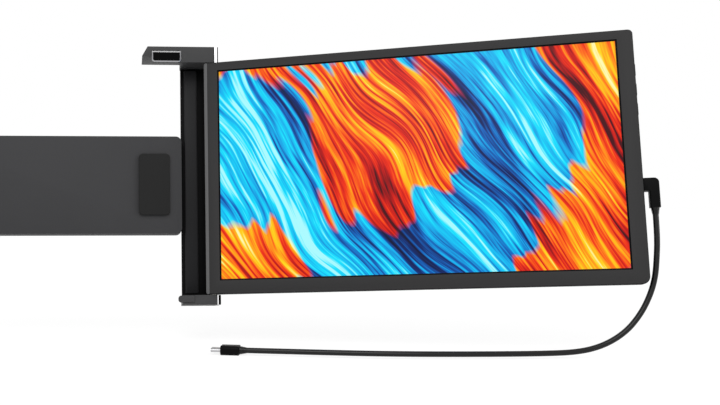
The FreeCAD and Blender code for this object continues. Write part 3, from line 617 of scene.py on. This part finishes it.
def rounded_slab(name, low, high):
    """A slab whose four depth-wise corners are rounded, each to its own radius."""
    piece = start_block(name, low, high)
    middle = (low + high) / 2
    corners = ((TOP_CORNER, 1, 1), (FOOT_CORNER, 1, -1), (HINGE_CORNER, -1, 1), (HINGE_CORNER, -1, -1))
    for radius, x_side, z_side in corners:
        corner = Vector((high.x if x_side > 0 else low.x, middle.y, high.z if z_side > 0 else low.z))

        def at_corner(place, way):
            return abs(way.y) > ALONG and (place - corner).length < NEAR

        bevel_edges(piece, at_corner, radius, 10)
    return piece


def front_bezel():
    low, high = housing_low, housing_high
    piece = rounded_slab("bezel_moulding", low, high)
    pick(piece, "FACE", lambda middle, normal: normal.y < -ALONG)
    bpy.ops.mesh.region_to_loop()
    bpy.ops.mesh.bevel(offset=FRONT_ROUND, segments=4, affect="EDGES")
    leave()
    tilt = math.atan2(FRONT_ROUND, HINGE_BEVEL)
    slope = start_block("slope", (-CUT_REACH, -CUT_REACH, low.z - CUT_REACH),
                        (CUT_REACH, 0, high.z + CUT_REACH))
    edge_of_slope = Matrix.Translation((low.x + HINGE_BEVEL, low.y, 0))
    slope.data.transform(edge_of_slope @ Matrix.Rotation(-tilt, 4, "Z"))
    carve(piece, slope)
    window = start_block("window", (window_low.x, low.y - CUT_REACH, window_low.z),
                         (window_high.x, high.y + CUT_REACH, window_high.z))
    carve(piece, window)
    pocket = start_block("pocket", (panel_low.x - POCKET_ROOM, panel_low.y, panel_low.z - POCKET_ROOM),
                         (panel_high.x + POCKET_ROOM, high.y + CUT_REACH, panel_high.z + POCKET_ROOM))
    carve(piece, pocket)
    soften(piece, FINE, 2, 50.0)
    settle(piece, Matrix.Identity(4), "screen", slot_of["front_bezel"],
           [housing_plastic, painted_highlight_plastic, painted_shade_plastic], "front_bezel")
    # slope faces get the lighter copy as painted highlight, faces not looking forward the near-black copy
    # as painted shade
    for face in piece.data.polygons:
        if abs(face.normal.x + math.sin(tilt)) < SLOPE_MATCH and face.normal.y < -ALONG:
            face.material_index = 1
        elif face.normal.y > -ALONG:
            face.material_index = 2
    piece.data.transform(TURNED)
    return piece


front_bezel()

# %% [markdown]
# ## The panel
# The lit panel sits just behind the bezel. It is a thin slab whose front has its own UV map, named
# panel, measured in panel heights from the window's lower left corner, so the picture is never
# stretched and turns with the screen.


# %% Display panel
PANEL_EASED = 0.0002


def display_panel():
    piece = start_block("lit_panel", panel_low, panel_high)
    soften(piece, PANEL_EASED, 2)
    layer = piece.data.uv_layers.new(name="panel")
    height = window_high.z - window_low.z
    for loop in piece.data.loops:
        point = piece.data.vertices[loop.vertex_index].co
        layer.data[loop.index].uv = ((point.x - window_low.x) / height, (point.z - window_low.z) / height)
    slot = slot_of["display_glass"]
    return settle(piece, TURNED, "screen", slot, [display_picture], "display_glass")


display_panel()

# %% [markdown]
# ## Back of the housing and the small parts
# The rear cover keeps its machined mesh, with eased edges round the ports and slots. The parts that
# only show through a port or from behind keep the frame's mesh and get a finish in its slot.

# %% Rear cover, buttons and plugs
PLUG_EASED = 0.0005
softened_copy("rear_cover", "rear_cover_finish", FINE, cover_plastic)
for node in ("power_button", "plus_button", "minus_button"):
    softened_copy(node, node + "_finish", FINE, housing_plastic)
for node in ("angle_plug", "far_plug"):
    softened_copy(node, node + "_finish", PLUG_EASED, plug_plastic, 3)
PLAIN = {
    "grip_pads": pad_rubber, "left_grip_pads": pad_rubber, "bracket_screws": screw_steel,
    "left_bracket_screws": screw_steel, "sleeve_screws": screw_steel, "rail_screws": screw_steel,
    "cover_screws": screw_steel, "leaf_screws": screw_steel, "hinge_pins": rail_steel,
    "hinge_bushes": nylon_white, "rail_guides": nylon_white, "rail_stops": nylon_white,
    "upper_rail": rail_steel, "lower_rail": rail_steel, "backlight": diffuser_white,
    "panel_tray": rail_steel, "main_board": board_green, "switch_board": board_green,
    "speakers": gloss_black, "hinge_leaves": rail_steel, "usb_port": rail_steel,
    "spare_usb_port": rail_steel, "video_port": rail_steel, "angle_plug_sleeve": rail_steel,
    "far_plug_sleeve": rail_steel}
for node, material in PLAIN.items():
    nodes[node].data.materials.clear()
    nodes[node].data.materials.append(material)
print("nodes that keep their machined mesh:", len(PLAIN))

# %% [markdown]
# ## Strain reliefs
# Where the cord leaves a plug, a soft cone with rings lets it bend without kinking. A circle is
# extruded along the axis and scaled ring by ring, so ribs and grooves alternate while the cone tapers.

# %% Ribbed reliefs
RELIEF_RINGS = 6
RELIEF_SIDES = 28
CORD_R = 0.0018
TIP_WALL = 0.00015
RIB_RISE = 0.0001
GROOVE_DEPTH = 0.00025
RIB_SHARE, STEP_SHARE, GROOVE_SHARE = 0.55, 0.08, 0.29


def ribbed_relief(node, start, way, length, root_r):
    """A tapered ribbed sleeve from start along way."""
    bpy.ops.object.select_all(action="DESELECT")
    bpy.ops.mesh.primitive_circle_add(vertices=RELIEF_SIDES, radius=root_r, fill_type="NGON",
                                      location=(0, 0, 0))
    piece = bpy.context.object
    piece.name = node + "_ribs"
    bpy.ops.object.mode_set(mode="EDIT")
    bpy.ops.mesh.select_all(action="SELECT")
    tip_r = CORD_R + TIP_WALL
    steps = []
    for ring in range(RELIEF_RINGS):
        share = (ring + 1) / RELIEF_RINGS
        wide = root_r + (tip_r - root_r) * share
        narrow = wide - GROOVE_DEPTH
        steps += [(RIB_SHARE, wide + RIB_RISE), (STEP_SHARE, narrow), (GROOVE_SHARE, narrow),
                  (STEP_SHARE, wide)]
    now = root_r
    for run, radius in steps:
        bpy.ops.mesh.extrude_region_move(
            TRANSFORM_OT_translate={"value": (0, 0, run * length / RELIEF_RINGS)})
        bpy.ops.transform.resize(value=(radius / now, radius / now, 1.0))
        now = radius
    bpy.ops.mesh.select_all(action="SELECT")
    bpy.ops.mesh.normals_make_consistent(inside=False)
    leave()
    only(piece)
    bpy.ops.object.shade_smooth_by_angle(angle=math.radians(40))
    turn = way.to_track_quat("Z", "Y").to_matrix().to_4x4()
    placed = Matrix.Translation(start) @ turn
    return settle(piece, placed, "screen", slot_of[node], [cord_rubber], node)


# %% [markdown]
# ## The cord
# The cord is one fixed length of soft round cable. It leaves the angled plug pointing down the
# screen's edge, hangs, turns under the corner and lies along the desk to the far plug. The points
# below are its control points, the same route that its solid follows.

# %% Cord
CORD_ROUTE = [
    (0.30527, -0.10821, -0.11024), (0.30527, -0.11021, -0.12410), (0.3042, -0.1114, -0.1380),
    (0.3028, -0.1121, -0.1500), (0.2992, -0.1126, -0.1610), (0.2930, -0.1130, -0.1725),
    (0.2835, -0.1132, -0.1835), (0.2700, -0.1130, -0.1917), (0.2540, -0.1124, -0.1960),
    (0.2300, -0.1114, -0.1969), (0.1860, -0.1106, -0.1969), (0.1380, -0.1064, -0.1969),
    (0.0950, -0.0968, -0.1969), (0.0480, -0.0844, -0.1969)]
RELIEF_LENGTH = 0.0045
RELIEF_ROOT = 0.0027


def make_cord():
    curve = bpy.data.curves.new("cord_line", "CURVE")
    curve.dimensions = "3D"
    spline = curve.splines.new("NURBS")
    spline.points.add(len(CORD_ROUTE) - 1)
    for point, place in zip(spline.points, CORD_ROUTE):
        point.co = (*place, 1.0)
    spline.order_u = 3
    spline.use_endpoint_u = True
    spline.resolution_u = 12
    curve.bevel_depth = CORD_R
    curve.bevel_resolution = 6
    curve.use_fill_caps = True
    piece = bpy.data.objects.new("cord_line", curve)
    bpy.context.scene.collection.objects.link(piece)
    curve.materials.append(cord_rubber)
    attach(piece, "screen")
    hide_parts("cord")
    return piece


cord_line = make_cord()
exit_way = (Vector(CORD_ROUTE[1]) - Vector(CORD_ROUTE[0])).normalized()
far_way = (Vector(CORD_ROUTE[-1]) - Vector(CORD_ROUTE[-2])).normalized()
near_ribs = ribbed_relief("strain_relief", Vector(CORD_ROUTE[0]) - exit_way * RELIEF_LENGTH, exit_way,
                          RELIEF_LENGTH, RELIEF_ROOT)
far_ribs = ribbed_relief("far_strain_relief", Vector(CORD_ROUTE[-1]) + far_way * RELIEF_LENGTH, -far_way,
                         RELIEF_LENGTH, RELIEF_ROOT)

# %% [markdown]
# ## A white surround
# What the camera and polished metal see behind the object is plain white, while what lights it is a
# softer sky. The light path tells the two apart: a ray from the camera or off a glossy surface is one
# that looks, and every other ray is one that lights.

# %% Seen by the eye or by a mirror
def eye_or_mirror(tree):
    """A socket that is 1 for camera and glossy rays."""
    path = tree.nodes.new("ShaderNodeLightPath")
    either = tree.nodes.new("ShaderNodeMath")
    either.operation = "MAXIMUM"
    tree.links.new(path.outputs["Is Camera Ray"], either.inputs[0])
    tree.links.new(path.outputs["Is Glossy Ray"], either.inputs[1])
    return either.outputs[0]


# %% [markdown]
# ## The desk
# The object stands over a plain pale desk, which the cord lies on. A matt plane alone would come out
# grey, so for looking rays most of its brightness is its own, and the rest still takes the object's
# soft shadow.

# %% Desk
DESK_SIZE = 24.0
DESK_OWN_SHARE = 0.75
DESK_OWN_STRENGTH = 1.08
FAR_PLUG_HALF = 0.003
desk_z = CORD_ROUTE[-1][2] - FAR_PLUG_HALF
bpy.ops.object.select_all(action="DESELECT")
bpy.ops.mesh.primitive_plane_add(size=DESK_SIZE, location=(0, 0, desk_z))
desk = bpy.context.object
desk.name = "desk"
desk_shader = Shader("desk_white")
desk_shader.set(Base_Color=(0.94, 0.94, 0.94, 1.0), Roughness=0.8)
own_light = desk_shader.tree.nodes.new("ShaderNodeEmission")
own_light.inputs["Color"].default_value = (1.0, 1.0, 1.0, 1.0)
own_light.inputs["Strength"].default_value = DESK_OWN_STRENGTH
share = desk_shader.tree.nodes.new("ShaderNodeMath")
share.operation = "MULTIPLY"
share.inputs[1].default_value = DESK_OWN_SHARE
desk_shader.tree.links.new(eye_or_mirror(desk_shader.tree), share.inputs[0])
desk_mix = desk_shader.tree.nodes.new("ShaderNodeMixShader")
desk_shader.tree.links.new(share.outputs[0], desk_mix.inputs[0])
desk_shader.tree.links.new(desk_shader.surface.outputs[0], desk_mix.inputs[1])
desk_shader.tree.links.new(own_light.outputs[0], desk_mix.inputs[2])
desk_output = desk_shader.tree.nodes["Material Output"]
desk_shader.tree.links.new(desk_mix.outputs[0], desk_output.inputs["Surface"])
desk.data.materials.append(desk_shader.material)
print("desk at z mm", round(desk_z / MM, 1))


# %% [markdown]
# ## Lamps and sky
# The light is soft and even, as in a studio: a bright sky for the fill, one large round lamp above and
# in front, and a weaker one from the right that models the edges.

# %% Lamps and sky
AIM = (0.1, 0, -0.08)
SKY_STRENGTH = 0.8


def area_lamp(name, place, aim, size, power):
    data = bpy.data.lights.new(name, "AREA")
    data.shape = "DISK"
    data.size = size
    data.energy = power
    lamp = bpy.data.objects.new(name, data)
    bpy.context.scene.collection.objects.link(lamp)
    lamp.location = place
    lamp.rotation_euler = (Vector(aim) - Vector(place)).to_track_quat("-Z", "Y").to_euler()
    return lamp


area_lamp("front_softbox", (-0.3, -1.6, 1.2), AIM, size=1.4, power=14.0)
area_lamp("side_softbox", (1.6, -0.9, 0.5), AIM, size=1.0, power=7.0)

world = bpy.data.worlds.new("white_room")
bpy.context.scene.world = world
world.use_nodes = True
tree = world.node_tree
sky = tree.nodes["Background"]
sky.inputs["Color"].default_value = (1.0, 1.0, 1.0, 1.0)
sky.inputs["Strength"].default_value = SKY_STRENGTH
seen = tree.nodes.new("ShaderNodeBackground")
seen.inputs["Color"].default_value = (1.0, 1.0, 1.0, 1.0)
mixer = tree.nodes.new("ShaderNodeMixShader")
tree.links.new(eye_or_mirror(tree), mixer.inputs[0])
tree.links.new(sky.outputs[0], mixer.inputs[1])
tree.links.new(seen.outputs[0], mixer.inputs[2])
tree.links.new(mixer.outputs[0], tree.nodes["World Output"].inputs["Surface"])
print("lamps 2, sky strength", SKY_STRENGTH)
